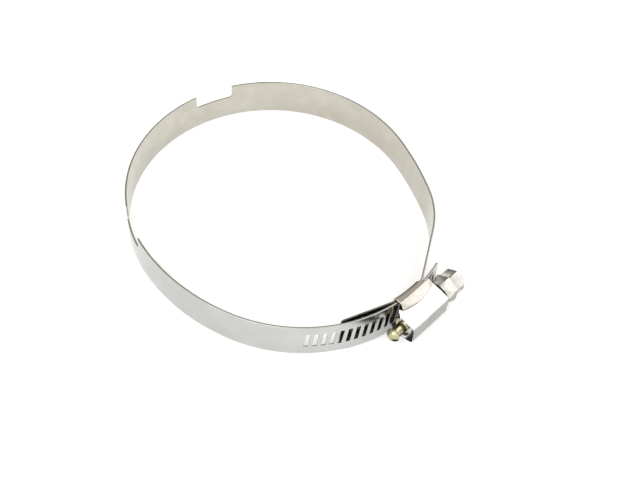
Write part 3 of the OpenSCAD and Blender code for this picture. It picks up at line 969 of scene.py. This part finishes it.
def screw_material():
    """Mottled zinc plate, olive at the tip and plain at the head, with painted shade in the
    narrow gap between the housing and the washer face.
    """
    recess_edge = 0.1
    m = Nodes("screw_zinc_look")
    m.shader.inputs["Metallic"].default_value = 1.0
    place = m.coordinates()
    along = m.along_x(place)
    mottle = m.noise(place, 420.0)
    fine = m.noise(place, 2600.0, detail=3.0)
    patch = m.spread(mottle, 0.4, 0.62, 0, 1)
    olive = m.mix(patch, (0.42, 0.375, 0.22), (0.54, 0.51, 0.36))
    plain = m.mix(patch, (0.56, 0.55, 0.50), (0.64, 0.63, 0.59))
    tone = m.mix(m.spread(along, -11 * MM, 9 * MM, 0, 1), olive, plain)
    zinc = m.mix(m.spread(fine, 0.66, 0.78, 0, 0.4), tone, (0.32, 0.29, 0.23))
    # painted shade: the journal between the housing's end and the washer face is darkened for the
    # shadow in that narrow gap
    past_housing = m.spread(
        along, (HOUSING_RIGHT - recess_edge) * MM, (HOUSING_RIGHT + recess_edge) * MM, 0, 1)
    past_recess = m.spread(
        along, COLLAR_FROM * MM, (COLLAR_FROM + 2 * recess_edge) * MM, 0, 1)
    gap_painted_shade = m.mix(past_recess, (0.05, 0.05, 0.045), zinc)
    m.link(m.mix(past_housing, zinc, gap_painted_shade), m.shader.inputs["Base Color"])
    m.link(m.spread(fine, 0.3, 0.7, 0.14, 0.26), m.shader.inputs["Roughness"])
    m.link(m.bump(fine, 0.3, 0.03 * MM), m.shader.inputs["Normal"])
    return m.material


def paint(pieces, material):
    """Gives pieces one material."""
    for piece in pieces:
        piece.data.materials.clear()
        piece.data.materials.append(material)


# ---------------------------------------------------------------- stage

def stage_rectangle(name, x_range, y_range, level):
    """A level rectangle on the stage, in millimetres."""
    (x0, x1), (y0, y1) = x_range, y_range
    corners = ((x0, y0), (x1, y0), (x1, y1), (x0, y1))
    points = [(x * MM, y * MM, level * MM) for x, y in corners]
    obj = bpy.data.objects.new(name, mesh_from(name, points, [(0, 1, 2, 3)]))
    bpy.context.scene.collection.objects.link(obj)
    return obj


def build_floor():
    """Plain pale floor, just under the lowest point of the clamp."""
    half, below = 3000, 0.05
    floor = stage_rectangle("floor", (-half, half), (-half, half), cad_box[0][2] / MM - below)
    m = Nodes("floor_look")
    m.shader.inputs["Base Color"].default_value = (0.93, 0.93, 0.93, 1)
    m.shader.inputs["Roughness"].default_value = 0.7
    m.shader.inputs["Specular IOR Level"].default_value = 0.1
    m.shader.inputs["Emission Color"].default_value = (1, 1, 1, 1)
    m.shader.inputs["Emission Strength"].default_value = 0.15
    floor.data.materials.append(m.material)


def build_card(name, x_range, y_range, grey, fade=None):
    """A glowing card on the floor, seen only in reflections, where its glow is a painted
    reflection. fade is (clear, full) distances along X.
    """
    above = 0.02
    card = stage_rectangle(name, x_range, y_range, cad_box[0][2] / MM + above)
    m = Nodes(name + "_look")
    m.shader.inputs["Base Color"].default_value = (0, 0, 0, 1)
    m.shader.inputs["Roughness"].default_value = 1.0
    m.shader.inputs["Specular IOR Level"].default_value = 0.0
    m.shader.inputs["Emission Color"].default_value = (1, 0.98, 0.95, 1)
    m.shader.inputs["Emission Strength"].default_value = grey
    if fade:
        clear, full = fade
        solid = m.spread(m.along_x(m.coordinates()), clear * MM, full * MM, 0, 1)
        m.link(solid, m.shader.inputs["Alpha"])
    card.data.materials.append(m.material)
    card.visible_camera = False
    card.visible_shadow = False
    card.visible_diffuse = False


def area_light(name, place, target, size, power):
    data = bpy.data.lights.new(name, "AREA")
    data.shape = "RECTANGLE"
    data.size, data.size_y = size
    data.energy = power
    light = bpy.data.objects.new(name, data)
    bpy.context.scene.collection.objects.link(light)
    light.location = place
    light.rotation_euler = (Vector(target) - Vector(place)).to_track_quat("-Z", "Y").to_euler()


def build_world():
    """Soft white surroundings that turn tan and then dark towards the back."""
    world = bpy.data.worlds.new("studio")
    bpy.context.scene.world = world
    world.use_nodes = True
    tree = world.node_tree
    background = tree.nodes["Background"]
    background.inputs["Strength"].default_value = 1.3
    direction = tree.nodes.new("ShaderNodeTexCoord")
    towards_back = tree.nodes.new("ShaderNodeVectorMath")
    towards_back.operation = "DOT_PRODUCT"
    towards_back.inputs[1].default_value = Vector((0.3, 0.95, -0.1)).normalized()
    ramp = tree.nodes.new("ShaderNodeValToRGB")
    white, dark = ramp.color_ramp.elements
    white.position, white.color = 0.12, (1.0, 1.0, 1.0, 1)
    dark.position, dark.color = 0.95, (0.10, 0.10, 0.09, 1)
    tan = ramp.color_ramp.elements.new(0.33)
    tan.color = (0.52, 0.48, 0.42, 1)
    tree.links.new(direction.outputs["Generated"], towards_back.inputs[0])
    tree.links.new(towards_back.outputs["Value"], ramp.inputs["Fac"])
    tree.links.new(ramp.outputs["Color"], background.inputs["Color"])


def build_light():
    """The surroundings and three softboxes, placed in metres."""
    build_world()
    middle = (0, -0.02, 0)
    area_light("softbox_top", (0.42, -0.27, 0.66), middle, size=(0.5, 0.5), power=0.55)
    area_light("softbox_low", (0.43, -0.72, 0.27), middle, size=(0.5, 0.4), power=0.36)
    area_light("softbox_left", (-0.5, -0.1, 0.6), middle, size=(0.5, 0.5), power=2.2)
    bpy.context.scene.view_settings.view_transform = "Standard"


def build_camera():
    """From the left front, high up, rolled a little."""
    place = Vector((-178.5, -167.6, 294.8)) * MM
    target = Vector((-0.9, -21.1, 0)) * MM
    roll = math.radians(4.62)
    forward = (target - place).normalized()
    level = forward.cross(Vector((0, 0, 1))).normalized()
    level_up = level.cross(forward)
    right = math.cos(roll) * level + math.sin(roll) * level_up
    up = right.cross(forward)
    turn = Matrix((right, up, -forward)).transposed().to_4x4()
    data = bpy.data.cameras.new("camera")
    data.lens = 67.44
    data.sensor_width = 36
    data.shift_y = -0.001875
    data.clip_start = 0.01
    camera = bpy.data.objects.new("camera", data)
    bpy.context.scene.collection.objects.link(camera)
    camera.matrix_world = Matrix.Translation(place) @ turn
    bpy.context.scene.camera = camera


# ---------------------------------------------------------------- assembly

saddle_look = sheet_material(
    "saddle_look",
    dark=(0.52, 0.49, 0.435), light=(0.60, 0.575, 0.53), stain=(0.36, 0.34, 0.30),
    roughness=(0.15, 0.27))
housing_look = sheet_material(
    "housing_look",
    dark=(0.58, 0.58, 0.565), light=(0.65, 0.65, 0.635), stain=(0.38, 0.37, 0.35),
    roughness=(0.13, 0.25))
paint(build_band(), band_material())
paint([build_saddle()], saddle_look)
paint(build_housing(), housing_look)
paint(build_screw(), screw_material())
build_floor()
# the dark card puts painted shade into the band's reflection beside the screw's tip, and the grey
# one a painted grey reflection on the housing's crown
build_card("dark_card", (-30, -9), (-72, -61.5), grey=0.02, fade=(-28, -16))
build_card("grey_card", (-7.5, 22), (-78, -65.6), grey=0.72)
build_light()
build_camera()
